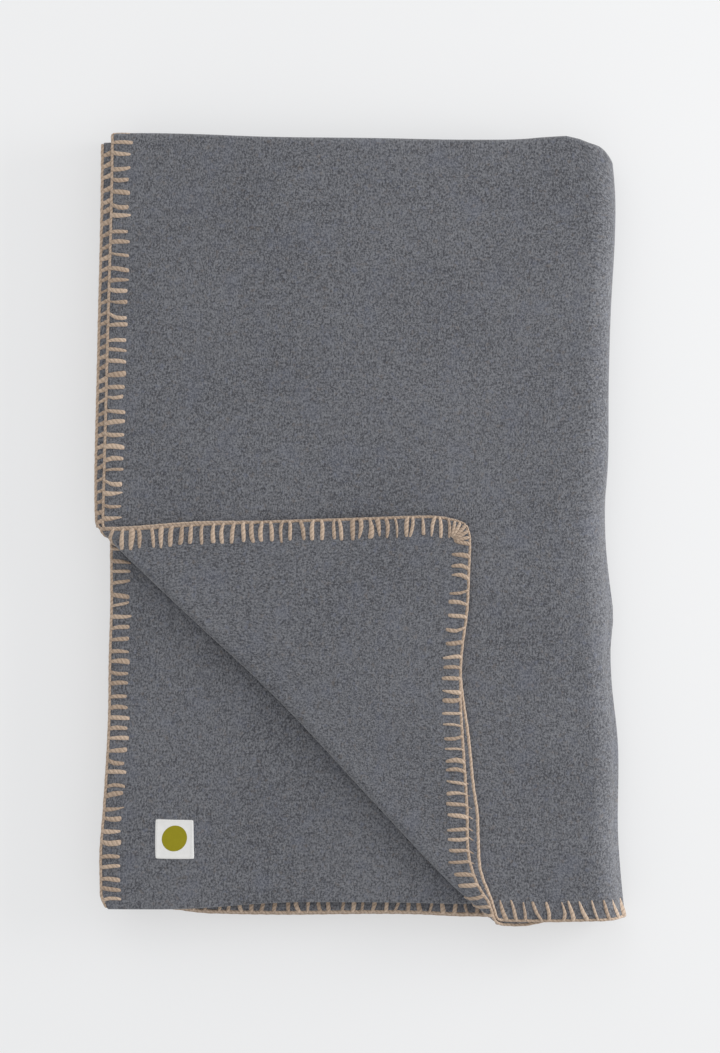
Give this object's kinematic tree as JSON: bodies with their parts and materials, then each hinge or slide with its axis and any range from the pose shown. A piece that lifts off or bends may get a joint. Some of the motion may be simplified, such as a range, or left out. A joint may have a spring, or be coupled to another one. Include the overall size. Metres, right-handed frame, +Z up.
{
  "type": "camp blanket, folded",
  "caption": "Felted wool camp blanket in heather grey with a beige blanket-stitched edge, folded flat, one corner turned back over a small sewn label",
  "frame": {"origin": "middle of the underside of the folded blanket", "axes": "X across the folded blanket from its free long edge to the wide side fold, Y from the stitched front edges to the back fold, Z up"},
  "size_m": [0.3396, 0.511, 0.039],
  "materials": {
    "heather_grey_wool": "felted, heathered mid grey, fine flecks",
    "beige_yarn": "soft two-ply wool yarn",
    "label_white": "smooth woven tape, off-white",
    "label_olive": "plain olive print on the label"
  },
  "bodies": {
    "under_half": {"lower_half_cloth": "heather_grey_wool", "first_short_edge_yarn_lower": "beige_yarn", "second_short_edge_yarn_lower": "beige_yarn"},
    "upper_half": {"top_leaf_cloth": "heather_grey_wool", "inner_leaf_cloth": "heather_grey_wool", "first_short_edge_yarn_top": "beige_yarn", "second_short_edge_yarn_top": "beige_yarn", "first_short_edge_yarn_inner": "beige_yarn", "second_short_edge_yarn_inner": "beige_yarn", "long_edge_yarn_top": "beige_yarn", "long_edge_yarn_inner": "beige_yarn", "label_patch": "label_white", "label_disc": "label_olive"},
    "corner_flap": {"turned_corner_first_layer": "heather_grey_wool", "turned_corner_second_layer": "heather_grey_wool", "turned_corner_first_yarn": "beige_yarn", "turned_corner_second_yarn": "beige_yarn"}
  },
  "joints": [
    {"name": "half_open", "type": "hinge", "parent": "under_half", "child": "upper_half", "pos_m": [0.1698, 0, 0.0168], "axis": [0, 1, 0], "range_deg": [0, 174]},
    {"name": "corner_turn", "type": "hinge", "parent": "upper_half", "child": "corner_flap", "pos_m": [-0.0829, -0.0829, 0.03435], "axis": [0.7071, -0.7071, 0], "range_deg": [0, 178]}
  ]
}
